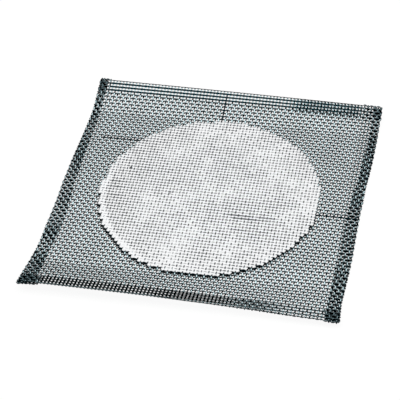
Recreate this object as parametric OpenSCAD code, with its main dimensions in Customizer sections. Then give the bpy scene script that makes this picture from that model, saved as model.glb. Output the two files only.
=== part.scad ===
// Wire gauze: a square of woven wire cloth with folded hems and a ceramic centre.
// Millimetres, +Z up. The gauze lies on z = 0 and is centred on the Z axis.
// X runs from the left side hem to the right one, and Y from the front hem to the back one.

/* [Cloth] */
// Distance between the folds of the two side hems
cloth_w = 120.4; // [116:0.1:130]
// Distance between the folds of the front and back hems
cloth_d = 120.4; // [116:0.1:130]
// Diameter of one wire
wire_d = 0.4; // [0.3:0.05:0.5]
// Spacing of the warp wires, which run from front to back
warp_pitch = 1.41; // [1.35:0.01:2]
// Spacing of the weft wires, which run from side to side
weft_pitch = 1.59; // [1.5:0.01:2]
// Thickness left in the valleys between the wires
web_t = 0.2; // [0.1:0.05:0.3]

/* [Hems] */
// Width of the two side hems, folded under
side_hem_w = 5; // [4:0.5:10]
// Width of the front and back hems, folded under
end_hem_w = 6; // [4:0.5:10]
// How far the side folds lean to the right at the back and to the left at the front
side_lean = 1.2; // [0:0.1:2]

/* [Ceramic] */
// Diameter of the ceramic centre
ceramic_d = 86; // [60:1:90]
// Thickness of the ceramic over the wires on the upper face
skin_t = 0.18; // [0.15:0.01:0.5]
// Thickness of the ceramic below the wires
base_t = 0.79; // [0.4:0.01:1.5]
// How far the covered wires stand out as ribs on both faces of the ceramic
rib_h = 0.1; // [0.02:0.01:0.14]
// Clearance between the ceramic and the wires that it grips
grip_gap = 0.01; // [0.01:0.01:0.05]

/* [Curl] */
// Lift of the back edge at its left end
back_lift_left = 4.8; // [2:0.1:8]
// Lift of the back edge at its middle
back_lift_mid = 3.4; // [2:0.1:8]
// Lift of the back edge at its right end
back_lift_right = 2.6; // [2:0.1:8]
// Lift of the front edge at its left end
front_lift_left = 4.1; // [2:0.1:8]
// Lift of the front edge at its middle
front_lift_mid = 3.6; // [2:0.1:8]
// Lift of the front edge at its right end
front_lift_right = 1.8; // [1.7:0.1:8]

/* [Openings] */
// Least spacing of the openings right through the cloth, in wires
pierce_step = 5; // [5:1:12]
// Mesh openings that each of them joins into one, both ways
pierce_span = 2; // [1:1:2]
// One mesh opening in this many carries a ceramic key through the cloth
key_step = 20; // [10:1:24]

/* [Hidden] */

half_w = cloth_w / 2;
half_d = cloth_d / 2;
fold_drop = 2 * wire_d;                       // one more layer of cloth
mid_z = wire_d + max(fold_drop, base_t + grip_gap); // height of the flat cloth's middle plane
flat_half = ceramic_d / 2 + weft_pitch / 2;   // the ceramic keeps the cloth flat this far
hem_x = half_w - side_hem_w;                  // where the doubled cloth of a side hem starts
hem_y = half_d - end_hem_w;                   // where the doubled cloth of an end hem starts
hem_share = 0.6;                              // share of a rim's lift reached at that line
steel = [0.27, 0.32, 0.33];
white = [0.94, 0.95, 0.96];

// Wires whose crests fit between the folds
warp_n = floor((cloth_w - wire_d) / warp_pitch) + 1;
weft_n = floor((cloth_d - wire_d) / weft_pitch) + 1;
function warp_x(i) = (i - (warp_n - 1) / 2) * warp_pitch;
function weft_y(j) = (j - (weft_n - 1) / 2) * weft_pitch;

// Curl of the front and back rims, which bend at the ceramic's edge and again at the stiffer hem
function rim_lift(x, y) = lookup(x / half_w, y > 0
    ? [[-1, back_lift_left], [0, back_lift_mid], [1, back_lift_right]]
    : [[-1, front_lift_left], [0, front_lift_mid], [1, front_lift_right]]);
function curl(x, y) = rim_lift(x, y)
    * lookup(abs(y), [[flat_half, 0], [hem_y, hem_share], [half_d, 1]]);

// Layers of cloth folded under the top one: none, one at a hem, two in a corner
function under_layers(x, y) = (abs(x) > hem_x ? 1 : 0) + (abs(y) > hem_y ? 1 : 0);

// Rounding of a folded edge: 1 on the flat, 0 at the fold
fold_r = wire_d + fold_drop / 2;
function roundness(x, y) = let (
    inset = min(half_w - abs(x), half_d - abs(y)),
    c = min(1, max(0, 1 - inset / fold_r))
) sqrt(1 - c * c);

// Upper and lower surface of the cloth: crest is 1 on a wire and 0 in a valley
function relief(crest) = web_t / 2 + crest * (wire_d - web_t / 2);
function upper_z(x, y, crest) = let (drop = fold_drop * under_layers(x, y) / 2, r = roundness(x, y))
    mid_z + curl(x, y) - drop + (drop + relief(crest)) * r + web_t / 2 * (1 - r);
function lower_z(x, y, crest) = let (drop = fold_drop * under_layers(x, y) / 2, r = roundness(x, y))
    mid_z + curl(x, y) - drop - (drop + relief(crest)) * r - web_t / 2 * (1 - r);

// The side folds lean: the wires stay straight as far as the hem and are gathered or spread inside it
function lean_share(x) = min(1, max(0, (abs(x) - hem_x) / (side_hem_w - fold_r)));
function leaned(x, y) = x + side_lean * y / half_d * lean_share(x);

// Lines across a wire's own direction: crests and valleys of n wires at a pitch, as [place, crest]
function ridge_lines(n, pitch, limit) = concat(
    [[-limit, 0]],
    [for (k = [0 : 2 * (n - 1)]) [(k - n + 1) * pitch / 2, k % 2 == 0 ? 1 : 0]],
    [[limit, 0]]
);
// Lines along a wire, where the sheet bends: places on one half, mirrored to the other
function both_ways(list, middle = []) = concat(
    [for (k = [len(list) - 1 : -1 : 0]) -list[k]],
    middle,
    [for (v = list) v]
);

over = 0.1; // what the upper block reaches past the folds, so that the lower one trims it
step = 0.1; // half the width of the slope at a side hem's cut edge
top_rows = both_ways([flat_half, hem_y, half_d - fold_r, half_d - fold_r / 4, half_d + over]);
low_cols = both_ways([hem_x - step, hem_x + step, half_w - fold_r, half_w], [0]);

// A closed block between two lattices of points, where lower and upper are lists of rows
module lattice_block(lower, upper) {
    rows = len(lower);
    cols = len(lower[0]);
    size = rows * cols;
    points = concat([for (row = lower) each row], [for (row = upper) each row]);
    at = function (layer, r, c) layer * size + r * cols + c;
    skins = [for (r = [0 : rows - 2], c = [0 : cols - 2]) each [
        [at(0, r, c), at(0, r, c + 1), at(0, r + 1, c + 1)],
        [at(0, r, c), at(0, r + 1, c + 1), at(0, r + 1, c)],
        [at(1, r, c), at(1, r + 1, c + 1), at(1, r, c + 1)],
        [at(1, r, c), at(1, r + 1, c), at(1, r + 1, c + 1)]
    ]];
    ends = [for (c = [0 : cols - 2]) each [
        [at(0, 0, c), at(1, 0, c), at(1, 0, c + 1), at(0, 0, c + 1)],
        [at(0, rows - 1, c), at(0, rows - 1, c + 1), at(1, rows - 1, c + 1), at(1, rows - 1, c)]
    ]];
    sides = [for (r = [0 : rows - 2]) each [
        [at(0, r, 0), at(0, r + 1, 0), at(1, r + 1, 0), at(1, r, 0)],
        [at(0, r, cols - 1), at(1, r, cols - 1), at(1, r + 1, cols - 1), at(0, r + 1, cols - 1)]
    ]];
    polyhedron(points = points, faces = concat(skins, ends, sides), convexity = 4);
}

// Everything below the upper surface, whose ridges are the warp wires
module below_upper_surface() {
    columns = ridge_lines(warp_n, warp_pitch, half_w + over);
    upper = [for (y = top_rows) [for (col = columns) [leaned(col[0], y), y, upper_z(col[0], y, col[1])]]];
    lower = [for (row = upper) [for (p = row) [p[0], p[1], -1]]];
    lattice_block(lower, upper);
}

// Everything above the lower surface, whose ridges are the weft wires
module above_lower_surface() {
    rows = ridge_lines(weft_n, weft_pitch, half_d);
    top = mid_z + max(back_lift_left, back_lift_mid, back_lift_right,
        front_lift_left, front_lift_mid, front_lift_right) + 1;
    lower = [for (row = rows) [for (x = low_cols)
        [leaned(x, row[0]), row[0], lower_z(x, row[0], row[1])]]];
    upper = [for (row = lower) [for (p = row) [p[0], p[1], top]]];
    lattice_block(lower, upper);
}

// The ceramic stops at the nearest wire, so that its rim steps from opening to opening
function snapped(reach, n, pitch) = let (first = n % 2 == 0 ? 0.5 : 0)
    pitch * (max(0, round(reach / pitch - first)) + first);
function chord(y) = snapped(sqrt(max(0, pow(ceramic_d / 2, 2) - y * y)), warp_n, warp_pitch);
module ceramic_outline() {
    covered = [for (j = [0 : weft_n - 2])
        if (abs(weft_y(j) + weft_pitch / 2) < ceramic_d / 2 - weft_pitch / 4) j];
    right = [for (j = covered) let (x = chord(weft_y(j) + weft_pitch / 2))
        each [[x, weft_y(j)], [x, weft_y(j + 1)]]];
    left = [for (k = [len(right) - 1 : -1 : 0]) [-right[k][0], right[k][1]]];
    polygon(concat(right, left));
}

// Width and depth of an opening that joins span mesh openings both ways
function opening_size(span) = [span * warp_pitch - wire_d, span * weft_pitch - wire_d];

// A larger free area has its openings further apart, so that their number stays below this
most_openings = 112;
free_area = 4 * hem_x * hem_y - PI / 4 * pow(ceramic_d, 2);
free_step = ceil(sqrt(free_area / (most_openings * warp_pitch * weft_pitch)));

// Middles of such openings every step wires, counted both ways from the cloth's middle
function opening_grid(step, span) = let (
    mid_x = (warp_n + span) % 2 == 0 ? warp_pitch / 2 : 0,
    mid_y = (weft_n + span) % 2 == 0 ? weft_pitch / 2 : 0,
    reach = ceil(max(warp_n, weft_n) / step / 2)
) [for (i = [-reach : reach], j = [-reach : reach])
    [mid_x + i * step * warp_pitch, mid_y + j * step * weft_pitch]];

pierced_size = opening_size(pierce_span);
key_size = opening_size(1);
function clear_of_ceramic(p) = let (
    near_x = max(0, abs(p[0]) - pierced_size[0] / 2),
    near_y = max(0, abs(p[1]) - pierced_size[1] / 2)
) norm([near_x, near_y]) > ceramic_d / 2 + weft_pitch;
function clear_of_hems(p) =
    abs(p[0]) + pierced_size[0] / 2 < hem_x - warp_pitch
    && abs(p[1]) + pierced_size[1] / 2 < hem_y - weft_pitch;
pierced = [for (p = opening_grid(max(pierce_step, free_step), pierce_span))
    if (clear_of_ceramic(p) && clear_of_hems(p)) p];
keyed = [for (p = opening_grid(key_step, 1)) if (norm(p) < ceramic_d / 2 - 2 * weft_pitch) p];

// One opening between wires, as the space swept from its front edge to its back edge
module mesh_opening(p, size) {
    edge = 0.1;
    hull() {
        for (side = [-1, 1])
            translate([p[0], p[1] + side * (size[1] - edge) / 2, mid_z + curl(p[0], p[1])])
                cube([size[0], edge, 4 * wire_d], center = true);
    }
}

module wire_cloth() {
    color(steel)
    difference() {
        intersection() {
            below_upper_surface();
            above_lower_surface();
        }
        for (p = pierced)
            mesh_opening(p, pierced_size);
        for (p = keyed)
            mesh_opening(p, key_size);
    }
}

// One half of the ceramic, measured up from the cloth's middle plane: it fills the valleys between
// n wires at a pitch and carries a rib over each of them
module ceramic_half(t, n, pitch, along_y) {
    half_n = floor((ceramic_d / 2 + pitch) / pitch);
    first = n % 2 == 0 ? 0.5 : 0;
    wires = [for (k = [-half_n : half_n - 2 * first]) (k + first) * pitch];
    end = (half_n + 1) * pitch;
    low = grip_gap + web_t / 2;
    high = grip_gap + wire_d;
    profile = concat(
        [[-end, low]],
        [for (x = wires) each [[x - pitch / 2, low], [x, high]]],
        [[end, low], [end, high + t - rib_h]],
        [for (k = [len(wires) - 1 : -1 : 0]) let (x = wires[k]) each [
            [x + wire_d, high + t - rib_h], [x + wire_d / 2, high + t],
            [x - wire_d / 2, high + t], [x - wire_d, high + t - rib_h]
        ]],
        [[-end, high + t - rib_h]]
    );
    intersection() {
        linear_extrude(high + t) ceramic_outline();
        rotate([0, 0, along_y ? 0 : 90])
            translate([0, ceramic_d, 0])
                rotate([90, 0, 0]) linear_extrude(2 * ceramic_d) polygon(profile);
    }
}

module ceramic_centre() {
    key_t = wire_d + grip_gap + min(skin_t, base_t) / 2;
    color(white)
    translate([0, 0, mid_z])
    union() {
        ceramic_half(skin_t, warp_n, warp_pitch, true);
        mirror([0, 0, 1]) ceramic_half(base_t, weft_n, weft_pitch, false);
        for (p = keyed)
            translate([p[0], p[1], 0])
                cube([key_size[0] - 2 * grip_gap, key_size[1] - 2 * grip_gap, 2 * key_t], center = true);
    }
}

wire_cloth();
ceramic_centre();
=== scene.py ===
# %% [markdown]
# # A laboratory wire gauze
# A wire gauze is a square of woven iron wire with its edges folded under, and a round of white ceramic
# pressed into its middle. It lies on a tripod over a burner and spreads the flame under a beaker.
# The frame from the CAD model comes first, because every piece made here has to fit its box.

# %% The frame and its box
import math
import bmesh
import bpy
import numpy as np
from mathutils import Matrix, Vector


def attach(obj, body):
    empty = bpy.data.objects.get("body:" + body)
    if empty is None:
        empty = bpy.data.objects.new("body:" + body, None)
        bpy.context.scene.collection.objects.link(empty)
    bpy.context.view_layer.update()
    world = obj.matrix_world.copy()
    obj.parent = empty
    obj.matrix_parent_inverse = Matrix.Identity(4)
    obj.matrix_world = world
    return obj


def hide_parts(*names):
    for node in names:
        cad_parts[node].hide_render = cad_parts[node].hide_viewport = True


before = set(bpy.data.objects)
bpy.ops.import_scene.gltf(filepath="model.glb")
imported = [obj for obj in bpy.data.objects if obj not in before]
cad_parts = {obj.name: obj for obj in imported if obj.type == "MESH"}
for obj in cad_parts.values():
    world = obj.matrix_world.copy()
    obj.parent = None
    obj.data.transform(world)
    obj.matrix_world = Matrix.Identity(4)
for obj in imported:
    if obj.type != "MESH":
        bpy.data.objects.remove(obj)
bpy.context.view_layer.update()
MM = 0.001

# %% [markdown]
# ## Sizes
# Everything is written in millimetres, the way the gauze would be specified, and turned into metres
# once, when a mesh is made. The warp wires run from front to back, and the weft wires cross them.
# Wires are counted from the middle of the cloth, which falls between two wires.

# %% Sizes of the cloth, its hems and the ceramic
WIRE_D = 0.57                               # drawn full, so that the mesh has its weight from a step away
WARP_PITCH, WEFT_PITCH = 25.4 / 18, 25.4 / 16           # 18 warp and 16 weft wires to the inch
HALF_W, HALF_D = 60.2, 60.2                 # from the middle to the folds
WARP_SHIFT, WEFT_SHIFT = 0.45, 0.205        # the middle of the cloth, in pitches past a wire
LEFT_FLAP, RIGHT_FLAP = 7.6, 4.9            # cloth turned under beyond each side fold
FRONT_FLAP, BACK_FLAP = 6.6, 6.2
LEFT_CUT, CUT_SLANT = -64.7, 0.05           # the left edge was cut at a slant: x at y 0, and x's drift with y
SIDE_LEAN = 1.18                            # the side folds lean to the right by this much at the back
CERAMIC_R = 43.85
CERAMIC_AT = (-0.05, 0.05)                  # its middle, which isn't quite the cloth's
MID_Z = 1.2                                 # height of the flat cloth's middle plane
WARP_CRIMP = 0.56 * WIRE_D                  # how far a warp wire swings over and under
WEFT_CRIMP = WIRE_D - WARP_CRIMP            # the weft wires stay straighter

WARPS = (math.ceil((-HALF_W - LEFT_FLAP) / WARP_PITCH + WARP_SHIFT),
         math.floor((HALF_W + RIGHT_FLAP) / WARP_PITCH + WARP_SHIFT))
WEFTS = (math.ceil((-HALF_D - FRONT_FLAP) / WEFT_PITCH + WEFT_SHIFT),
         math.floor((HALF_D + BACK_FLAP) / WEFT_PITCH + WEFT_SHIFT))


def warp_x(i):
    """Where warp wire i lies, counted from left to right."""
    return (i - WARP_SHIFT) * WARP_PITCH


def weft_y(j):
    """Where weft wire j lies, counted from front to back."""
    return (j - WEFT_SHIFT) * WEFT_PITCH


print("warp wires:", WARPS[1] - WARPS[0] + 1, "weft wires:", WEFTS[1] - WEFTS[0] + 1)

# %% [markdown]
# ## Iron wire
# The wire is bare iron, dulled to a dark grey with a touch of blue-green. Its crests are worn and painted
# brighter as a highlight and its flanks painted dark as shade, by how squarely the surface faces up or down.
# A noise in the object's own space makes some stretches duller. A point attribute called
# `burn_and_painted_shade` says where flame and soot have blackened a wire and where shade is painted.
# It is written later, when the cloth is shaped.

# %% Material helpers
def new_material(name):
    """A material with its node tree and its shader."""
    material = bpy.data.materials.new(name)
    material.use_nodes = True
    tree = material.node_tree
    return material, tree, tree.nodes["Principled BSDF"]


def add_noise(tree, scale, detail=2.0):
    """Noise in the object's own space, with a size of about 1 / scale metres."""
    place = tree.nodes.new("ShaderNodeTexCoord")
    noise = tree.nodes.new("ShaderNodeTexNoise")
    noise.inputs["Scale"].default_value = scale
    noise.inputs["Detail"].default_value = detail
    tree.links.new(place.outputs["Object"], noise.inputs["Vector"])
    return noise.outputs["Fac"]


def add_ramp(tree, value, stops):
    """A colour that runs from one stop to the other, each a (value, colour) pair."""
    ramp = tree.nodes.new("ShaderNodeValToRGB")
    for element, (position, colour) in zip(ramp.color_ramp.elements, stops):
        element.position, element.color = position, (*colour, 1)
    tree.links.new(value, ramp.inputs["Fac"])
    return ramp.outputs["Color"]


# %% The dulled iron wire
# painted shade on the flanks, and the worn crests with a painted highlight
SHADED_FLANK, WORN_SHEEN_CREST = (0.007, 0.023, 0.029), (0.53, 0.69, 0.725)
SHEEN_FROM, SHEEN_TO = 0.50, 0.75             # the painted shade gives way to the painted highlight between these, by how near a normal is to upright
# the dark colour of burns and soot, which the painted shade uses as well
BURNT_AND_SHADED_IRON = (0.003, 0.017, 0.022)
TONE_SCALE, TONE_FROM, TONE_TO = 90.0, 0.35, 0.7        # the noise, and where it counts as dull and as plain
DULL_TONE = 0.7                             # the duller stretches keep this share of their brightness

iron_wire, wire_tree, wire_shader = new_material("dulled_iron_wire")
facing = wire_tree.nodes.new("ShaderNodeNewGeometry").outputs["Normal"]
upright = wire_tree.nodes.new("ShaderNodeSeparateXYZ")
wire_tree.links.new(facing, upright.inputs[0])
level = wire_tree.nodes.new("ShaderNodeMath")
level.operation = "ABSOLUTE"
wire_tree.links.new(upright.outputs["Z"], level.inputs[0])
wear_and_sheen = add_ramp(wire_tree, level.outputs[0], [(SHEEN_FROM, SHADED_FLANK), (SHEEN_TO, WORN_SHEEN_CREST)])
tone = add_ramp(wire_tree, add_noise(wire_tree, TONE_SCALE),
                [(TONE_FROM, [DULL_TONE] * 3), (TONE_TO, [1.0] * 3)])
wire_colour = wire_tree.nodes.new("ShaderNodeMix")
wire_colour.data_type, wire_colour.blend_type = "RGBA", "MULTIPLY"
wire_colour.inputs["Factor"].default_value = 1.0
wire_tree.links.new(wear_and_sheen, wire_colour.inputs["A"])
wire_tree.links.new(tone, wire_colour.inputs["B"])
# burns, soot and painted shade all darken the wire towards that dark colour
burn_and_painted_shade = wire_tree.nodes.new("ShaderNodeAttribute")
burn_and_painted_shade.attribute_name = "burn_and_painted_shade"
burnt = wire_tree.nodes.new("ShaderNodeMix")
burnt.data_type = "RGBA"
wire_tree.links.new(burn_and_painted_shade.outputs["Fac"], burnt.inputs["Factor"])
wire_tree.links.new(wire_colour.outputs["Result"], burnt.inputs["A"])
burnt.inputs["B"].default_value = (*BURNT_AND_SHADED_IRON, 1)
wire_tree.links.new(burnt.outputs["Result"], wire_shader.inputs["Base Color"])
wire_shader.inputs["Metallic"].default_value = 1.0
wire_shader.inputs["Roughness"].default_value = 0.15
wire_shader.inputs["Specular Tint"].default_value = (0.1, 0.1, 0.1, 1)
print("wire material:", iron_wire.name)

# %% [markdown]
# ## Weaving the cloth
# In a plain weave every wire goes over one neighbour and under the next, and its two neighbours do the
# opposite. So a wire's height is a product of two cosines, one across the cloth and one along it, and
# one rule places thousands of crossings. Geometry Nodes are the right tool: a line of points for the
# wires, a line of points along each wire, the height rule, and a round section swept along.
# The stretch inside the ceramic is left out, because nobody can see it.

# %% Node tree helpers
def new_tree(name, sockets):
    """An empty tree with (label, kind) inputs and one geometry output."""
    tree = bpy.data.node_groups.new(name, "GeometryNodeTree")
    for label, kind in sockets:
        tree.interface.new_socket(label, in_out="INPUT", socket_type="NodeSocket" + kind)
    tree.interface.new_socket("Geometry", in_out="OUTPUT", socket_type="NodeSocketGeometry")
    return tree, tree.nodes.new("NodeGroupInput"), tree.nodes.new("NodeGroupOutput")


def add_node(tree, kind, links=(), **settings):
    """A node with its settings, and (socket, source) links into it, where a source can be a plain value."""
    node = tree.nodes.new(kind)
    for key, value in settings.items():
        setattr(node, key, value)
    for socket, source in links:
        if isinstance(source, bpy.types.NodeSocket):
            tree.links.new(source, node.inputs[socket])
        else:
            node.inputs[socket].default_value = source
    return node


def maths(tree, operation, a, b=0.0):
    """One sum on one or two values, each a socket or a plain number."""
    return add_node(tree, "ShaderNodeMath", [(0, a), (1, b)], operation=operation).outputs[0]


def wave(tree, count):
    """1 at every even count and -1 at every odd one."""
    return maths(tree, "COSINE", maths(tree, "MULTIPLY", count, math.pi))


# %% The woven wires as a node tree
def woven_wires_tree():
    """A row of parallel wires that go over and under the ones they cross."""
    tree, given, result = new_tree("woven_wires", [
        ("Wires", "Int"), ("Points", "Int"), ("Start", "Vector"), ("Next Wire", "Vector"),
        ("Next Point", "Vector"), ("Warp Pitch", "Float"), ("Weft Pitch", "Float"), ("Phase", "Vector"),
        ("Crimp", "Float"), ("Wire Radius", "Float"), ("Sides", "Int"), ("Hidden Centre", "Vector"),
        ("Hidden Radius", "Float"), ("Left Cut", "Float"), ("Cut Slant", "Float"), ("Wire", "Material")])
    g = given.outputs
    starts = add_node(tree, "GeometryNodeMeshLine", [("Count", g["Wires"]), ("Start Location", g["Start"]),
                                                     ("Offset", g["Next Wire"])])
    one_wire = add_node(tree, "GeometryNodeMeshLine", [("Count", g["Points"]), ("Offset", g["Next Point"])])
    copies = add_node(tree, "GeometryNodeInstanceOnPoints", [("Points", starts.outputs["Mesh"]),
                                                             ("Instance", one_wire.outputs["Mesh"])])
    lines = add_node(tree, "GeometryNodeRealizeInstances", [("Geometry", copies.outputs["Instances"])])
    # the over-and-under rule
    place = add_node(tree, "GeometryNodeInputPosition").outputs[0]
    from_wire = add_node(tree, "ShaderNodeVectorMath", [(0, place), (1, g["Phase"])], operation="SUBTRACT")
    parts = add_node(tree, "ShaderNodeSeparateXYZ", [(0, from_wire.outputs[0])]).outputs
    across = wave(tree, maths(tree, "DIVIDE", parts["X"], g["Warp Pitch"]))
    along = wave(tree, maths(tree, "DIVIDE", parts["Y"], g["Weft Pitch"]))
    swing = maths(tree, "MULTIPLY", across, along)
    height = maths(tree, "MULTIPLY", swing, g["Crimp"])
    lift = add_node(tree, "ShaderNodeCombineXYZ", [("Z", height)]).outputs[0]
    crimped = add_node(tree, "GeometryNodeSetPosition", [("Geometry", lines.outputs[0]), ("Offset", lift)])
    # the stretch inside the ceramic goes
    flat = add_node(tree, "ShaderNodeVectorMath", [(0, place), (1, (1, 1, 0))], operation="MULTIPLY")
    reach = add_node(tree, "ShaderNodeVectorMath", [(0, flat.outputs[0]), (1, g["Hidden Centre"])],
                     operation="DISTANCE")
    inside = add_node(tree, "FunctionNodeCompare", [(0, reach.outputs["Value"]), (1, g["Hidden Radius"])],
                      data_type="FLOAT", operation="LESS_THAN").outputs[0]
    # and so does what lies past the slanted cut
    spot = add_node(tree, "ShaderNodeSeparateXYZ", [(0, place)]).outputs
    edge = maths(tree, "ADD", g["Left Cut"], maths(tree, "MULTIPLY", spot["Y"], g["Cut Slant"]))
    past = add_node(tree, "FunctionNodeCompare", [(0, spot["X"]), (1, edge)],
                    data_type="FLOAT", operation="LESS_THAN").outputs[0]
    gone = add_node(tree, "FunctionNodeBooleanMath", [(0, inside), (1, past)], operation="OR").outputs[0]
    open_cloth = add_node(tree, "GeometryNodeDeleteGeometry", [("Geometry", crimped.outputs[0]),
                                                               ("Selection", gone)], domain="POINT")
    # a round section along every wire
    curves = add_node(tree, "GeometryNodeMeshToCurve", [("Mesh", open_cloth.outputs[0])])
    upright = add_node(tree, "GeometryNodeSetCurveNormal", [("Curve", curves.outputs[0])], mode="Z_UP")
    section = add_node(tree, "GeometryNodeCurvePrimitiveCircle", [("Resolution", g["Sides"]),
                                                                  ("Radius", g["Wire Radius"])])
    tubes = add_node(tree, "GeometryNodeCurveToMesh", [("Curve", upright.outputs[0]),
                                                       ("Profile Curve", section.outputs["Curve"]),
                                                       ("Fill Caps", True)])
    smooth = add_node(tree, "GeometryNodeSetShadeSmooth", [("Geometry", tubes.outputs[0])])
    whole = add_node(tree, "GeometryNodeRealizeInstances", [("Geometry", smooth.outputs[0])])
    dressed = add_node(tree, "GeometryNodeSetMaterial", [("Geometry", whole.outputs[0]),
                                                         ("Material", g["Wire"])])
    tree.links.new(dressed.outputs[0], result.inputs[0])
    return tree


WOVEN_WIRES = woven_wires_tree()
print("nodes in the tree of woven wires:", len(WOVEN_WIRES.nodes))


# %% From a node tree to a mesh
def grow(name, tree, inputs):
    """A plain mesh object from a node tree: the inputs are set, it is evaluated, and the modifier goes."""
    carrier = bpy.data.objects.new(name + "_carrier", bpy.data.meshes.new(name + "_carrier"))
    bpy.context.scene.collection.objects.link(carrier)
    modifier = carrier.modifiers.new("grow", "NODES")
    modifier.node_group = tree
    sockets = {s.name: s.identifier for s in tree.interface.items_tree if s.in_out == "INPUT"}
    for label, value in inputs.items():
        modifier[sockets[label]] = value
    carrier.update_tag()
    evaluated = carrier.evaluated_get(bpy.context.evaluated_depsgraph_get())
    mesh = bpy.data.meshes.new_from_object(evaluated)
    bpy.data.objects.remove(carrier)
    mesh.name = name
    piece = bpy.data.objects.new(name, mesh)
    bpy.context.scene.collection.objects.link(piece)
    return piece


# %% Warp and weft, still flat
STEPS = 3                                   # points along a wire from one crossing to the next
SIDES = 6
WIRE_RADIUS = WIRE_D / 2 * 1.03             # a six-sided tube as wide as the round wire
TAIL = 0.5                                  # a cut wire ends half a pitch past the last crossing
HIDDEN_R = CERAMIC_R - 2.0                  # the wires end 2 mm inside the ceramic's edge


def weave(name, warp):
    """The warp or the weft as one flat mesh, in millimetres."""
    x, y = warp_x(WARPS[0]), weft_y(WEFTS[0])
    if warp:
        across, along = WARPS, WEFTS
        start, over, on = (x, y - TAIL * WEFT_PITCH, 0), (WARP_PITCH, 0, 0), (0, WEFT_PITCH / STEPS, 0)
    else:
        across, along = WEFTS, WARPS
        start, over, on = (x - TAIL * WARP_PITCH, y, 0), (0, WEFT_PITCH, 0), (WARP_PITCH / STEPS, 0, 0)
    return grow(name, WOVEN_WIRES, {
        "Wires": across[1] - across[0] + 1, "Points": int((along[1] - along[0] + 2 * TAIL) * STEPS) + 1,
        "Start": start, "Next Wire": over, "Next Point": on,
        "Warp Pitch": WARP_PITCH, "Weft Pitch": WEFT_PITCH, "Phase": (warp_x(0), weft_y(0), 0),
        "Crimp": WARP_CRIMP if warp else -WEFT_CRIMP, "Wire Radius": WIRE_RADIUS, "Sides": SIDES,
        "Hidden Centre": (*CERAMIC_AT, 0), "Hidden Radius": HIDDEN_R,
        "Left Cut": LEFT_CUT, "Cut Slant": CUT_SLANT, "Wire": iron_wire})


warp_wires = weave("warp_wires", True)
weft_wires = weave("weft_wires", False)
for piece in (warp_wires, weft_wires):
    piece.data.calc_loop_triangles()
    print(piece.name, "triangles:", len(piece.data.loop_triangles))

# %% [markdown]
# ## Which openings the ceramic fills
# Ceramic slurry is pressed into the mesh from both faces and fired. It fills whole openings, so its edge
# steps from wire to wire. The filled openings are picked before the wires are shaped, because a shadow
# is painted on the wires along the front of that edge.

# %% Which openings are filled
FIRST_COLUMN = -46                          # the leftmost column of openings that is looked at
RAGGED = 0.15                               # the slurry's edge strays by this much

rng = np.random.default_rng(7)
cells_x = np.arange(FIRST_COLUMN, WARPS[1])
cells_y = np.arange(WEFTS[0], WEFTS[1])
cell_x, cell_y = np.meshgrid(warp_x(cells_x + 0.5) - CERAMIC_AT[0],
                             weft_y(cells_y + 0.5) - CERAMIC_AT[1], indexing="ij")
ragged = rng.uniform(-RAGGED, RAGGED, cell_x.shape)
filled = np.hypot(cell_x, cell_y) + ragged < CERAMIC_R
print("openings filled with ceramic:", int(filled.sum()))


def is_filled(u, v):
    """Whether a place counted in wires lies in an opening that the ceramic fills."""
    i = np.clip(np.floor(u).astype(int) - cells_x[0], 0, filled.shape[0] - 1)
    j = np.clip(np.floor(v).astype(int) - cells_y[0], 0, filled.shape[1] - 1)
    return filled[i, j]


# %% [markdown]
# ## Folding the hems
# A press folds each edge of the cloth under, the two sides first and then the ends. A fold is a roll of
# the sheet round a small radius, followed by the flap lying back under the cloth. Real folding gives the
# hems' look for nothing: the flat cloth goes through a fold formula, point by point.
# The side folds lean against the wires, every fold line wanders by some tenths of a millimetre, and the
# flaps have slid a little along them. That decides whether the rows of the two layers cover each other,
# which leaves clear gaps, or fill each other's gaps, which makes a hem look dark and dense.

# %% The fold formula
FOLD_R = 0.34                               # from the fold's axis to the cloth's middle plane
DOUBLED_FROM, DOUBLED_OVER = 7.0, 2.5       # an end hem's roll widens from this far in, over this length


def fold_under(out, z, radius):
    """Points at a distance out past a fold's axis, and z over the sheet, are rolled under it."""
    angle = np.clip(out / radius, 0, math.pi)
    rolled = out > 0
    under = out > math.pi * radius
    new_out = np.where(rolled, (radius + z) * np.sin(angle), out)
    new_out = np.where(under, math.pi * radius - out, new_out)
    new_z = np.where(rolled, (radius + z) * np.cos(angle) - radius, z)
    return new_out, np.where(under, -2 * radius - z, new_z)


def by_eye(x, table):
    """The offset at x, from (place, offset) pairs."""
    return np.interp(x, *zip(*table))


# %% Where the folds wander
# each fold line wanders by some tenths of a millimetre: (place, offset) pairs
LEFT_LINE = [(-66, 0.8), (-60.5, 1.2), (-57, 0.9), (-48, 0.8), (-38, 0.3), (-22, -0.1), (-10, -0.1),
             (0, 0.3), (40, 0.2), (60, 0.1)]
RIGHT_LINE = [(-66, 0.5), (-60.5, 1.1), (-50, 0.5), (-25, 0.6), (-12, 0.3), (0, 0.2), (8, 0.4),
              (20, 0.75), (40, 0.85), (60, 0.5)]
FRONT_LINE = [(-62, 0.5), (-58, -0.2), (-12, -0.2), (2, 0.05), (30, 0.15), (45, 0.45), (60, 0.45)]
BACK_LINE = [(-60, 0.9), (-54, 0.52), (60, 0.52)]
# a flap of an end hem also slides along its fold: (place, slide) pairs
BACK_SLIDE = [(-60, -0.17), (20, -0.17), (28, 0.5), (50, 0.5), (55, 0.0)]
FRONT_SLIDE = [(-60, 0.0), (20, 0.0), (28, -0.08), (60, -0.08)]
LEFT_SLIP, RIGHT_SLIP = 0.42, 0.10          # a side flap sits this far behind the rows that it came from


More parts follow.
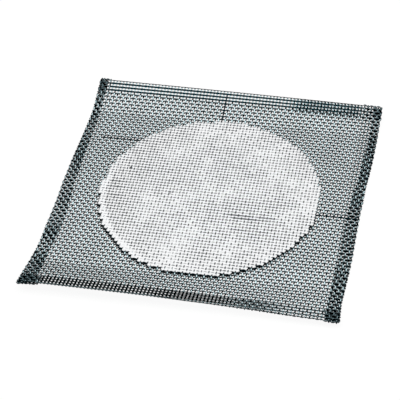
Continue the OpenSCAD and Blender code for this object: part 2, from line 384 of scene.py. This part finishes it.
def fold_sides(p):
    """The flat cloth's points with the left and the right hem folded under."""
    tilt = math.atan(SIDE_LEAN / HALF_D)
    for side, line, slip in ((-1, LEFT_LINE, LEFT_SLIP), (1, RIGHT_LINE, RIGHT_SLIP)):
        axis_x = side * (HALF_W - FOLD_R - WIRE_D + by_eye(p[:, 1], line)) + SIDE_LEAN * p[:, 1] / HALF_D
        out = (p[:, 0] - axis_x) * side * math.cos(tilt)
        new_out, new_z = fold_under(out, p[:, 2], FOLD_R)
        move = (new_out - out) * side
        slipped = slip * np.clip(out / FOLD_R / math.pi, 0, 1)
        p = np.stack([p[:, 0] + move * math.cos(tilt), p[:, 1] - move * math.sin(tilt) + slipped, new_z], 1)
    return p


def fold_ends(p):
    """Points with the front and the back hem folded under, wider where a side hem has doubled the cloth."""
    doubled = np.clip((np.abs(p[:, 0]) - (HALF_W - DOUBLED_FROM)) / DOUBLED_OVER, 0, 1)
    radius = FOLD_R * (1 + doubled)
    for end, line, slide in ((-1, FRONT_LINE, FRONT_SLIDE), (1, BACK_LINE, BACK_SLIDE)):
        axis_y = HALF_D - radius - WIRE_D + by_eye(p[:, 0], line)
        out = p[:, 1] * end - axis_y
        new_out, new_z = fold_under(out, p[:, 2], radius)
        slid = by_eye(p[:, 0], slide) * np.clip(out / radius / math.pi, 0, 1)
        p = np.stack([p[:, 0] + slid, (axis_y + new_out) * end, new_z], 1)
    return p


fold_lines = [off for line in (LEFT_LINE, RIGHT_LINE, FRONT_LINE, BACK_LINE) for place, off in line]
print("the fold lines wander from", min(fold_lines), "to", max(fold_lines), "mm")

# %% [markdown]
# ## The bent rims
# The ceramic is stiff and keeps the middle flat. In front of it and behind it the cloth has been bent up
# a little by handling, most of all in the back left corner. The lift grows from the ceramic's edge to
# the rim, and from side to side it follows a curve through three measured heights.

# %% The curl formula
LIFT_FROM = CERAMIC_R
LIFT_POWER = 1.2                            # 1 would be a straight slope
LIFT_LIMIT = 1.02                           # the roll of a fold, just past the rim, still rises a little
BACK_LIFT = (4.7, 3.8, 2.5)                 # at the left end, the middle and the right end
FRONT_LIFT = (4.1, 3.6, 1.8)


def curl(x, y):
    """How far the bent cloth stands above the flat."""
    t = x / HALF_W
    share = np.clip((np.abs(y) - LIFT_FROM) / (HALF_D - LIFT_FROM), 0, LIFT_LIMIT) ** LIFT_POWER
    back, front = [a * t * (t - 1) / 2 + b * (1 - t * t) + c * t * (t + 1) / 2
                   for a, b, c in (BACK_LIFT, FRONT_LIFT)]
    return np.where(y > 0, back, front) * share


print("the back left corner is lifted by", round(float(curl(-HALF_W, HALF_D)), 1), "mm")

# %% [markdown]
# ## Pressed, blackened and shaded wires
# The press also flattened the wires of the two end hems, all but the right end of the front one, and
# spread the weft of the back hem. Soot has blackened the weft in those hems. Shade is painted on the spots
# where the wires touch there, on all the weft wires, on the side hems and the corners, and a shadow is
# painted on the wires along the ceramic's front edge. Three single wires have a burnt stretch each.

# %% Press, grime and soot
HEM_FROM, HEM_FULL = 6.6, 5.6               # a hem begins this far in from its fold, and is full here
END_PRESS = 0.9                             # share of the crimp that the press takes out of an end hem
FRONT_RIGHT_PRESS = 0.2                     # the press missed the right end of the front hem
PRESS_FADE = (10, 25)                       # between these places it went from full to that
SPREAD = 0.3                                # a pressed weft wire gets wider by this share
WEFT_SHADE = 0.7                             # the weft lies lower, so it is painted darker all along as shade
SIDE_SHADE, SIDE_WEFT_SHADE = 0.4, 0.8      # painted shade on the warp and on the weft of the doubled side hems
# painted shade in the corners, where four layers lie
CORNER_SHADE = 0.8
FRONT_SOOT = 0.75                           # the front hem isn't quite as black as the back one
TOUCH_SHADE = 0.34                                # painted shade reaches this far from a crossing where the wires touch, in pitches
RIM_SHADOW = 0.45                             # a painted shadow reaches this far out from the ceramic's edge, in pitches
RIM_SHADOW_FADE = (-8, 2)                     # between these places that painted shadow goes from full to none
# a few wires are burnt darker, with the crests that cross them: (set, wire number, from, to), in mm
BURNT = (("warp", -2, 43.0, 58.0), ("weft", 18, -51.0, -31.0), ("weft", -3, 43.0, 59.0))
BURNT_REACH, BURNT_BEHIND = 0.45, 0.95      # how far round a wire the burn reaches, and behind a weft wire
BURNT_SWELL = 0.5                           # a burnt weft wire is wider by this share
print("burnt stretches of wire:", len(BURNT))


# %% Hems, burns, soot and painted shade
def in_hems(p):
    """How far a point of the flat cloth lies in an end hem and in a side hem, both from 0 to 1."""
    end = np.interp(np.abs(p[:, 1]), [HALF_D - HEM_FROM, HALF_D - HEM_FULL], [0, 1])
    side = np.interp(np.abs(p[:, 0]), [HALF_W - HEM_FROM, HALF_W - HEM_FULL], [0, 1])
    return end, side


def on_burnt(p, before, behind):
    """Which points lie on a burnt stretch of wire, or near it: this far round it, and behind a weft wire."""
    found = np.zeros(len(p), bool)
    for kind, number, start, stop in BURNT:
        across, along = (p[:, 0], p[:, 1]) if kind == "warp" else (p[:, 1], p[:, 0])
        off = across - (warp_x(number) if kind == "warp" else weft_y(number))
        reach = before if kind == "warp" else behind
        found |= (off > -before) & (off < reach) & (along > start) & (along < stop)
    return found


def darkened(p, warp):
    """How dark a point of a wire is from burns, soot and painted shade, from 0 for none to 1 for burnt."""
    end, side = in_hems(p)
    # painted shade on the whole weft
    base_shade, side_shade = (0.0, SIDE_SHADE) if warp else (WEFT_SHADE, SIDE_WEFT_SHADE)
    # painted shade in the side hems
    dark = np.maximum(base_shade, side_shade * side)
    v = p[:, 1] / WEFT_PITCH + WEFT_SHIFT
    # painted shade where the wires touch in the end hems, and soot on their weft
    touch_shade = np.abs(v - np.round(v)) < TOUCH_SHADE
    soot = np.where(p[:, 1] < 0, FRONT_SOOT, 1.0)
    dark = np.maximum(dark, soot * end * (touch_shade if warp else 1.0) * (side < 0.5))
    # painted shade in the corners
    dark = np.maximum(dark, CORNER_SHADE * end * side)
    # painted shadow on the wires along the ceramic's front edge
    u = p[:, 0] / WARP_PITCH + WARP_SHIFT
    both = (-RIM_SHADOW, RIM_SHADOW)
    near = np.array([is_filled(u + a, v + b) for a in both for b in both])
    at_rim = near.any(0) & ~near.all(0)
    dark = np.maximum(dark, at_rim * np.interp(p[:, 1], RIM_SHADOW_FADE, [1, 0]))
    dark[on_burnt(p, BURNT_REACH, BURNT_BEHIND)] = 1.0
    return dark


# %% The cloth takes its shape
def points_of(piece):
    """A mesh's points as rows of x, y and z."""
    p = np.empty(len(piece.data.vertices) * 3)
    piece.data.vertices.foreach_get("co", p)
    return p.reshape(-1, 3)


def shape_cloth(piece):
    """Marks the dark places on one set of flat wires, then presses, spreads, folds and bends it."""
    p = points_of(piece)
    end, side = in_hems(p)
    # burns, soot and painted shade, kept as a point attribute
    burn_and_shade_layer = piece.data.attributes.new("burn_and_painted_shade", "FLOAT", "POINT")
    burn_and_shade_layer.data.foreach_set("value", darkened(p, piece is warp_wires))
    pressed = np.where(p[:, 1] > 0, 1, np.interp(p[:, 0], PRESS_FADE, [1, FRONT_RIGHT_PRESS]))
    p[:, 2] *= 1 - END_PRESS * end * (side < 0.5) * pressed
    if piece is weft_wires:
        middle = weft_y(np.round(p[:, 1] / WEFT_PITCH + WEFT_SHIFT))
        swollen = BURNT_SWELL * on_burnt(p, BURNT_REACH, BURNT_REACH)
        wider = np.maximum(SPREAD * end * (side < 0.5) * (p[:, 1] > 0), swollen)
        p[:, 1] += (p[:, 1] - middle) * wider
    p = fold_ends(fold_sides(p))
    p[:, 2] += MID_Z + curl(p[:, 0], p[:, 1])
    piece.data.vertices.foreach_set("co", (p * MM).ravel())
    piece.data.update()
    return p


for piece in (warp_wires, weft_wires):
    p = shape_cloth(piece)
    print(piece.name, "box in mm:", p.min(0).round(2).tolist(), p.max(0).round(2).tolist())

# %% [markdown]
# ## The ceramic centre
# The wires' crests lie just under the ceramic's skin. The mesh is a fine grid laid on the weave, four
# steps to a pitch, so each crest gets its own small bump. The under side is thicker and smoother.

# %% Height of the ceramic's two faces
STEP = 4                                    # grid steps from one wire to the next
FILL_TOP, COVER = 0.33, 0.06                # the upper face over the middle plane, and over a wire's crest
FILL_UNDER, UNDER_D = 1.12, 0.06            # the under face below it, and how much lower that is at a crest
UNDER_CREST = 0.4                           # a wire this far below the middle plane counts as a full crest
RIM_TOP, RIM_UNDER = 0.8, 0.91              # along its edge the ceramic has this share of its thickness


def swing(u, v):
    """The over-and-under rule for a place counted in wires: 1 where the warp is on top, -1 where it's not."""
    return np.cos(math.pi * u) * np.cos(math.pi * v)


def round_top(off):
    """Height of a wire's surface over its middle line, and a millimetre down where there is no wire."""
    return np.sqrt(np.clip((WIRE_D / 2) ** 2 - off ** 2, 0, None)) - (np.abs(off) > WIRE_D / 2)


def wire_tops(x, y, face):
    """How far the nearest warp and weft stand out of the middle plane: up for face 1, and down for -1."""
    u, v = x / WARP_PITCH + WARP_SHIFT, y / WEFT_PITCH + WEFT_SHIFT
    i, j = np.round(u), np.round(v)
    warp = face * WARP_CRIMP * swing(i, v) + round_top(x - warp_x(i))
    weft = -face * WEFT_CRIMP * swing(u, j) + round_top(y - weft_y(j))
    return warp, weft


fine_cells = np.kron(filled, np.ones((STEP, STEP), bool))
lines_u = np.arange(cells_x[0] * STEP, (cells_x[-1] + 1) * STEP + 1) / STEP
lines_v = np.arange(cells_y[0] * STEP, (cells_y[-1] + 1) * STEP + 1) / STEP
grid_x, grid_y = np.meshgrid(warp_x(lines_u), weft_y(lines_v), indexing="ij")

# a grid point with ceramic in all four cells round it is inside, and the others are on the edge
padded = np.pad(fine_cells, 1)
inside = padded[:-1, :-1] & padded[1:, :-1] & padded[:-1, 1:] & padded[1:, 1:]
top_share, under_share = np.where(inside, 1.0, RIM_TOP), np.where(inside, 1.0, RIM_UNDER)

highest = np.maximum(*wire_tops(grid_x, grid_y, 1))
upper = np.maximum(FILL_TOP * top_share, highest + COVER * top_share)
deepest = np.maximum(*wire_tops(grid_x, grid_y, -1))
under = -(FILL_UNDER + UNDER_D * np.clip(deepest / UNDER_CREST, 0, 1)) * under_share
print("ceramic grid:", *grid_x.shape, "points, with", int(inside.sum()), "inside")


# %% The ceramic as one closed mesh
def closed_slab(name, mask, x, y, top, low):
    """A slab over the cells in mask: an upper and an under skin on one grid, and a wall round its rim."""
    nx, ny = x.shape
    number = np.arange(nx * ny).reshape(nx, ny)
    i, j = np.nonzero(mask)
    skin = np.stack([number[i + a, j + b] for a, b in ((0, 0), (1, 0), (1, 1), (0, 1))], 1)
    faces = [skin, skin[:, ::-1] + nx * ny]
    # a wall stands wherever the next cell on one of the four sides isn't in the mask
    around = np.pad(mask, 1)
    for di, dj, a, b in ((-1, 0, (0, 1), (0, 0)), (1, 0, (1, 0), (1, 1)),
                         (0, -1, (0, 0), (1, 0)), (0, 1, (1, 1), (0, 1))):
        i, j = np.nonzero(mask & ~around[1 + di:nx + di, 1 + dj:ny + dj])
        first, second = number[i + a[0], j + a[1]], number[i + b[0], j + b[1]]
        faces.append(np.stack([second, first, first + nx * ny, second + nx * ny], 1))
    used, quads = np.unique(np.concatenate(faces), return_inverse=True)
    quads = quads.reshape(-1, 4)
    points = np.concatenate([np.stack([x, y, z], 2).reshape(-1, 3) for z in (top, low)])[used]
    mesh = bpy.data.meshes.new(name)
    mesh.from_pydata((points * MM).tolist(), [], quads.tolist())
    # the wall takes the second material, which paints it dark as shade
    rim = np.arange(len(quads)) >= 2 * len(skin)
    mesh.polygons.foreach_set("material_index", rim.astype(int))
    mesh.polygons.foreach_set("use_smooth", np.ones(len(mesh.polygons), bool))
    piece = bpy.data.objects.new(name, mesh)
    bpy.context.scene.collection.objects.link(piece)
    print(name, "quads:", len(quads), "box in mm:", points.min(0).round(2).tolist(),
          points.max(0).round(2).tolist())
    return piece


ceramic_disc = closed_slab("ceramic_disc", fine_cells, grid_x, grid_y, MID_Z + upper, MID_Z + under)

# %% Beads of ceramic at the front rim
BEADS = ((-15.2, -41.6), (-11.0, -43.1), (-8.4, -43.0))     # slurry that dripped off the front edge
BEAD_R, BEAD_RISE = 0.5, 0.3                # a bead's middle is this far over the cloth's middle plane

bead_shape = bmesh.new()
for x, y in BEADS:
    z = MID_Z + BEAD_RISE + float(curl(x, y))
    bmesh.ops.create_icosphere(bead_shape, subdivisions=2, radius=BEAD_R * MM,
                               matrix=Matrix.Translation(Vector((x, y, z)) * MM))
bead_mesh = bpy.data.meshes.new("ceramic_beads")
bead_shape.to_mesh(bead_mesh)
bead_shape.free()
bead_mesh.polygons.foreach_set("use_smooth", np.ones(len(bead_mesh.polygons), bool))
ceramic_beads = bpy.data.objects.new("ceramic_beads", bead_mesh)
bpy.context.scene.collection.objects.link(ceramic_beads)
print("beads:", len(BEADS))

# %% [markdown]
# ## White ceramic
# Fired ceramic is matt and white. Where a crest lies just under its skin the iron shows through: the warp
# wires as short dark dashes in a chequer, and the weft wires more faintly between them. Every wire also
# gets a shallow grey line of painted groove shade. The shader works out from the place on the cloth which
# wire is near and which one is on top, so the dashes stay sharp at any size. Each crossing is covered more
# or less by chance, a broad noise makes the skin thinner in some places, and along the left of the rim it
# is thick and clean. The narrow wall round the rim is painted dark as shade. All marks are added up into one
# value first, where 0 is clean ceramic and 1 is bare iron, and a colour ramp turns it into the colour.

# %% Which wire lies under a place on the ceramic
def between(tree, value, zero_at, one_at):
    """0 at one value and 1 at the other, straight in between."""
    return add_node(tree, "ShaderNodeMapRange", [("Value", value), ("From Min", zero_at),
                                                 ("From Max", one_at)]).outputs[0]


def chain(tree, operation, values):
    """All the values joined by one operation, from left to right."""
    result = values[0]
    for value in values[1:]:
        result = maths(tree, operation, result, value)
    return result


def product(tree, *values):
    """All the values multiplied."""
    return chain(tree, "MULTIPLY", values)


def total(tree, *values):
    """All the values added."""
    return chain(tree, "ADD", values)


def rising(tree, share, least, more):
    """The least where the share is 0, and that much more where it is 1."""
    return total(tree, least, product(tree, share, more))


def wire_counts(tree):
    """Places across and along the cloth, counted in warp and weft wires."""
    place = tree.nodes.new("ShaderNodeTexCoord").outputs["Object"]
    parts = add_node(tree, "ShaderNodeSeparateXYZ", [(0, place)]).outputs
    return (total(tree, maths(tree, "DIVIDE", parts["X"], WARP_PITCH * MM), WARP_SHIFT),
            total(tree, maths(tree, "DIVIDE", parts["Y"], WEFT_PITCH * MM), WEFT_SHIFT))


def crests(tree, across, along, sign, dash, groove_shade, lift):
    """The dashes of one set of wires where it is on top, and the painted shade of its grooves all along.

    Both are full inside a first distance from a wire's middle line and gone at a second, in pitches. A dash
    begins where the wire's lift, which is 1 at a crest, is the first value, and is full at the second.
    """
    off = maths(tree, "PINGPONG", across, 0.5)
    on_top = product(tree, sign, wave(tree, maths(tree, "ROUND", across)), wave(tree, along))
    dashes = product(tree, between(tree, off, dash[1], dash[0]), between(tree, on_top, *lift))
    return dashes, between(tree, off, groove_shade[1], groove_shade[0])


# %% Dashes and grooves
WARP_DASH, WEFT_DASH = 2.0, 1.1             # how strong the dashes are
WARP_GROOVE_SHADE, WEFT_GROOVE_SHADE = 0.12, 0.26       # and the painted shade of the grooves
# on the left the dashes of the weft are stronger, and strongest in a patch on the far left: each fade runs
# from the first wire to the second
LEFT_FADE, LEFT_LEAST, LEFT_MORE = (-8, -24), 0.8, 1.0
FAR_FADE, FAR_FRONT, FAR_BACK, FAR_MORE = (-20, -24), (-14, -11), (3, 0), 0.8

white_ceramic, clay_tree, clay_shader = new_material("white_ceramic")
u, v = wire_counts(clay_tree)
warp_dash, warp_groove_shade = crests(clay_tree, u, v, 1.0, dash=(0.08, 0.20), groove_shade=(0.12, 0.28),
                                lift=(0.25, 0.65))
weft_dash, weft_groove_shade = crests(clay_tree, v, u, -1.0, dash=(0.06, 0.18), groove_shade=(0.08, 0.24),
                                lift=(0.10, 0.60))
left = rising(clay_tree, between(clay_tree, u, *LEFT_FADE), LEFT_LEAST, LEFT_MORE)
far_left = product(clay_tree, between(clay_tree, u, *FAR_FADE), between(clay_tree, v, *FAR_FRONT),
                   between(clay_tree, v, *FAR_BACK))
left_weft = product(clay_tree, weft_dash, left, rising(clay_tree, far_left, 1.0, FAR_MORE))
marks = 0.0
for mark, strength in ((warp_dash, WARP_DASH), (left_weft, WEFT_DASH),
                       (warp_groove_shade, WARP_GROOVE_SHADE), (weft_groove_shade, WEFT_GROOVE_SHADE)):
    marks = total(clay_tree, marks, product(clay_tree, mark, strength))
print("nodes for dashes and grooves:", len(clay_tree.nodes))

# %% Thinner and thicker places
BROAD_SCALE, BROAD_DETAIL, BROAD_FADE = 60.0, 4.0, (0.35, 0.65)
BROAD_LEAST, BROAD_MORE = 0.5, 0.95         # a broad noise makes the marks 0.5 to 1.45 times as strong,
CHANCE_LEAST, CHANCE_MORE = 0.5, 1.4        # chance makes those at one crossing 0.5 to 1.9 times as strong,
THIN_LEAST = 0.72                           # and the thick skin at the front makes them 0.72 times as strong
# the skin is thinner at the back and the left, and thicker at the right: (axis, from, to, more), in mm
THINNER = (("y", -38, -20, 0.28), ("y", 5, 30, 0.15), ("x", -15, -30, 0.15), ("x", 10, 25, -0.12))
# along the left of the rim it is thick and clean: how far in from the edge, and from where to where, in mm
RIM_IN, RIM_LEFT, RIM_BACK = (3.2, 2.2), (-10, -25), (16, 4)
RIM_CLEAN = 0.85                            # the share of the marks that is missing there

broad = between(clay_tree, add_noise(clay_tree, BROAD_SCALE, BROAD_DETAIL), *BROAD_FADE)
crossing = add_node(clay_tree, "ShaderNodeCombineXYZ", [("X", maths(clay_tree, "ROUND", u)),
                                                        ("Y", maths(clay_tree, "ROUND", v))])
chance = add_node(clay_tree, "ShaderNodeTexWhiteNoise", [("Vector", crossing.outputs[0])]).outputs["Value"]
marks = product(clay_tree, marks, rising(clay_tree, broad, BROAD_LEAST, BROAD_MORE))
marks = product(clay_tree, marks, rising(clay_tree, chance, CHANCE_LEAST, CHANCE_MORE))
off = {"x": product(clay_tree, maths(clay_tree, "SUBTRACT", u, WARP_SHIFT), WARP_PITCH),
       "y": product(clay_tree, maths(clay_tree, "SUBTRACT", v, WEFT_SHIFT), WEFT_PITCH)}
thin = THIN_LEAST
for axis, start, stop, more in THINNER:
    thin = total(clay_tree, thin, product(clay_tree, between(clay_tree, off[axis], start, stop), more))
squares = total(clay_tree, *[product(clay_tree, off[axis], off[axis]) for axis in ("x", "y")])
at_rim = between(clay_tree, maths(clay_tree, "SQRT", squares), *[CERAMIC_R - inward for inward in RIM_IN])
left_rim = product(clay_tree, at_rim, between(clay_tree, off["x"], *RIM_LEFT),
                   between(clay_tree, off["y"], *RIM_BACK))
marks = product(clay_tree, marks, thin, rising(clay_tree, left_rim, 1.0, -RIM_CLEAN))
print("nodes with thinner and thicker places:", len(clay_tree.nodes))

# %% Bare wires and specks
# stretches of weft that lie nearly bare: (wire number, from warp, to warp, strength)
BARE = ((-6, 7, 14, 1.2), (-6, 15, 21, 1.1), (-7, 8, 16, 1.4), (-7, 17, 20, 0.7), (-11, 9, 14, 0.8),
        (2, -29, -22, 0.8), (0, -29, -24, 0.8), (-3, -28, -23, 0.9))
BARE_FULL, BARE_GONE = 0.18, 0.36           # from the wire's middle line, in pitches
BARE_LINE, BARE_DASH = 0.4, 2.4             # the strength of the whole stretch, and of its dashes
SPECKS = ((-24.1, 7.3, 0.9), (-10.8, -0.4, 0.45))       # (place in warps, place in wefts, strength)
SPECK_FULL, SPECK_GONE = 0.1, 0.3           # squared distance from a speck's middle, in pitches

for number, first, last, strength in BARE:
    away = maths(clay_tree, "ABSOLUTE", maths(clay_tree, "SUBTRACT", v, number))
    line = product(clay_tree, between(clay_tree, away, BARE_GONE, BARE_FULL),
                   rising(clay_tree, weft_dash, BARE_LINE, BARE_DASH))
    stretch = product(clay_tree, between(clay_tree, u, first, first + 1),
                      between(clay_tree, u, last, last - 1))
    marks = total(clay_tree, marks, product(clay_tree, line, stretch, strength))
for at_u, at_v, strength in SPECKS:
    off_u, off_v = maths(clay_tree, "SUBTRACT", u, at_u), maths(clay_tree, "SUBTRACT", v, at_v)
    away = total(clay_tree, product(clay_tree, off_u, off_u), product(clay_tree, off_v, off_v))
    speck = product(clay_tree, between(clay_tree, away, SPECK_GONE, SPECK_FULL), strength)
    marks = total(clay_tree, marks, speck)
print("bare stretches:", len(BARE), "specks:", len(SPECKS))

# %% The ceramic's materials
CLAY_WHITE, CLAY_DARK, CLAY_ROUGHNESS = (0.96, 0.97, 0.98), (0.04, 0.045, 0.05), 0.75
# the rim's narrow wall is painted dark as shade
RIM_WALL_SHADE, RIM_ROUGHNESS = (0.03, 0.035, 0.04), 0.9
GRAIN_SCALE, GRAIN_SHARE, GRAIN_D = 2500.0, 0.25, 0.05  # grains of some tenths of a millimetre

clay_colour = add_ramp(clay_tree, marks, [(0.0, CLAY_WHITE), (1.0, CLAY_DARK)])
clay_tree.links.new(clay_colour, clay_shader.inputs["Base Color"])
clay_shader.inputs["Roughness"].default_value = CLAY_ROUGHNESS
grain = add_node(clay_tree, "ShaderNodeBump", [("Height", add_noise(clay_tree, GRAIN_SCALE)),
                                               ("Strength", GRAIN_SHARE), ("Distance", GRAIN_D * MM)])
clay_tree.links.new(grain.outputs[0], clay_shader.inputs["Normal"])


def plain_material(name, colour, roughness):
    """A material of one colour."""
    material, _, shader = new_material(name)
    shader.inputs["Base Color"].default_value = (*colour, 1)
    shader.inputs["Roughness"].default_value = roughness
    return material


shaded_rim_wall = plain_material("shaded_rim_wall", RIM_WALL_SHADE, RIM_ROUGHNESS)
bead_white = plain_material("bead_white", CLAY_WHITE, CLAY_ROUGHNESS)
for material in (white_ceramic, shaded_rim_wall):
    ceramic_disc.data.materials.append(material)
ceramic_beads.data.materials.append(bead_white)
print("ceramic materials:", white_ceramic.name, shaded_rim_wall.name, bead_white.name)

# %% [markdown]
# ## Floor and light
# The gauze lies on a white table under one broad soft light straight overhead. The stretches of warp
# that rise towards the back mirror it and the falling ones don't, which gives the cloth its rows of
# bright dashes. The floor is a pale diffuse surface for the light, and a little emission that only
# camera, glossy and transmitted rays see takes it up to white, while the gauze keeps its soft shadow.
# The world is black, so that the lamp is the only light.

# %% The white table
TABLE_R, TABLE_SIDES = 3.0, 96              # the table's radius is in metres
TABLE_GREY = 0.85                           # what the light meets
SEEN_GREY, SEEN_GLOW = 0.10, 0.92           # what the camera sees

table_mesh = bpy.data.meshes.new("white_table")
turns = [2 * math.pi * k / TABLE_SIDES for k in range(TABLE_SIDES)]
table_mesh.from_pydata([(TABLE_R * math.cos(t), TABLE_R * math.sin(t), 0) for t in turns], [],
                       [range(TABLE_SIDES)])
white_table = bpy.data.objects.new("white_table", table_mesh)
bpy.context.scene.collection.objects.link(white_table)
table_paint = bpy.data.materials.new("white_table")
table_paint.use_nodes = True
paint = table_paint.node_tree
paint.nodes.clear()


def seen_ray(tree):
    """1 for camera, glossy and transmitted rays, 0 for the rest."""
    path = tree.nodes.new("ShaderNodeLightPath").outputs
    either = maths(tree, "MAXIMUM", path["Is Camera Ray"], path["Is Glossy Ray"])
    return maths(tree, "MAXIMUM", either, path["Is Transmission Ray"])


for_light = add_node(paint, "ShaderNodeBsdfDiffuse", [("Color", (*[TABLE_GREY] * 3, 1))])
seen_base = add_node(paint, "ShaderNodeBsdfDiffuse", [("Color", (*[SEEN_GREY] * 3, 1))])
seen_glow = add_node(paint, "ShaderNodeEmission", [("Color", (1, 1, 1, 1)), ("Strength", SEEN_GLOW)])
seen = add_node(paint, "ShaderNodeAddShader", [(0, seen_base.outputs[0]), (1, seen_glow.outputs[0])])
chosen = add_node(paint, "ShaderNodeMixShader", [(0, seen_ray(paint)), (1, for_light.outputs[0]),
                                                 (2, seen.outputs[0])])
add_node(paint, "ShaderNodeOutputMaterial", [("Surface", chosen.outputs[0])])
white_table.data.materials.append(table_paint)
print("table radius in m:", TABLE_R)

# %% Soft light
world = bpy.data.worlds.new("studio")
bpy.context.scene.world = world
world.use_nodes = True
world.node_tree.nodes["Background"].inputs["Strength"].default_value = 0.0


def soft_box(name, place, width, depth, radiance):
    """A rectangular lamp aimed at the gauze, whose face has the given radiance."""
    lamp = bpy.data.lights.new(name, "AREA")
    lamp.shape, lamp.size, lamp.size_y = "RECTANGLE", width, depth
    lamp.energy = radiance * math.pi * width * depth
    box = bpy.data.objects.new(name, lamp)
    bpy.context.scene.collection.objects.link(box)
    box.location = place
    box.rotation_euler = (-Vector(place)).to_track_quat("-Z", "Y").to_euler()
    return box


overhead = soft_box("overhead_light", place=(0.0, 0.10, 1.0), width=6.0, depth=1.1, radiance=2.1)
print("lamp:", overhead.name, "with", round(overhead.data.energy, 1), "watts")

# %% [markdown]
# ## Camera
# The camera looks down at 43.5 degrees from the front right, with a long lens, so the square hardly
# tapers. Its three axes are written out as measured, because the camera was also tilted by about three
# degrees round its own line of sight.

# %% The camera
RIGHT = Vector((0.9795187, 0.1945339, -0.0519584))
DOWN = Vector((0.0974685, -0.6838929, -0.7230425))
AHEAD = Vector((-0.1761903, 0.7031693, -0.6888468))
OFFSET = Vector((3.42161, -2.06179, 619.29842))         # from the camera to the aim, along those axes
AIM = Vector((-0.42, 0.39, MID_Z))
SENSOR, LENS_RATIO = 36, 3.906              # the lens is this many picture widths long

place = AIM - (RIGHT * OFFSET.x + DOWN * OFFSET.y + AHEAD * OFFSET.z)
lens = bpy.data.cameras.new("camera")
lens.lens, lens.sensor_width = SENSOR * LENS_RATIO, SENSOR
lens.clip_start, lens.clip_end = 0.01, 20
camera = bpy.data.objects.new("camera", lens)
bpy.context.scene.collection.objects.link(camera)
axes = Matrix((RIGHT, -DOWN, -AHEAD)).transposed().to_4x4()
camera.matrix_world = Matrix.Translation(place * MM) @ axes
bpy.context.scene.camera = camera
bpy.context.scene.view_settings.view_transform = "Standard"
print("camera at", [round(v, 1) for v in place], "mm, lens", round(lens.lens, 1))

# %% [markdown]
# ## Fitting the pieces to the frame
# The two sets of wires stand for the CAD's ridged sheet, and the disc and its beads for the CAD's
# ceramic. There is no joint, so everything rides on the one body.

# %% Bodies and nodes
for piece, node, finish in ((warp_wires, "wire_cloth", "iron_wire"), (weft_wires, "wire_cloth", "iron_wire"),
                            (ceramic_disc, "ceramic_centre", "white_ceramic"),
                            (ceramic_beads, "ceramic_centre", "white_ceramic")):
    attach(piece, "root")
    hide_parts(node)
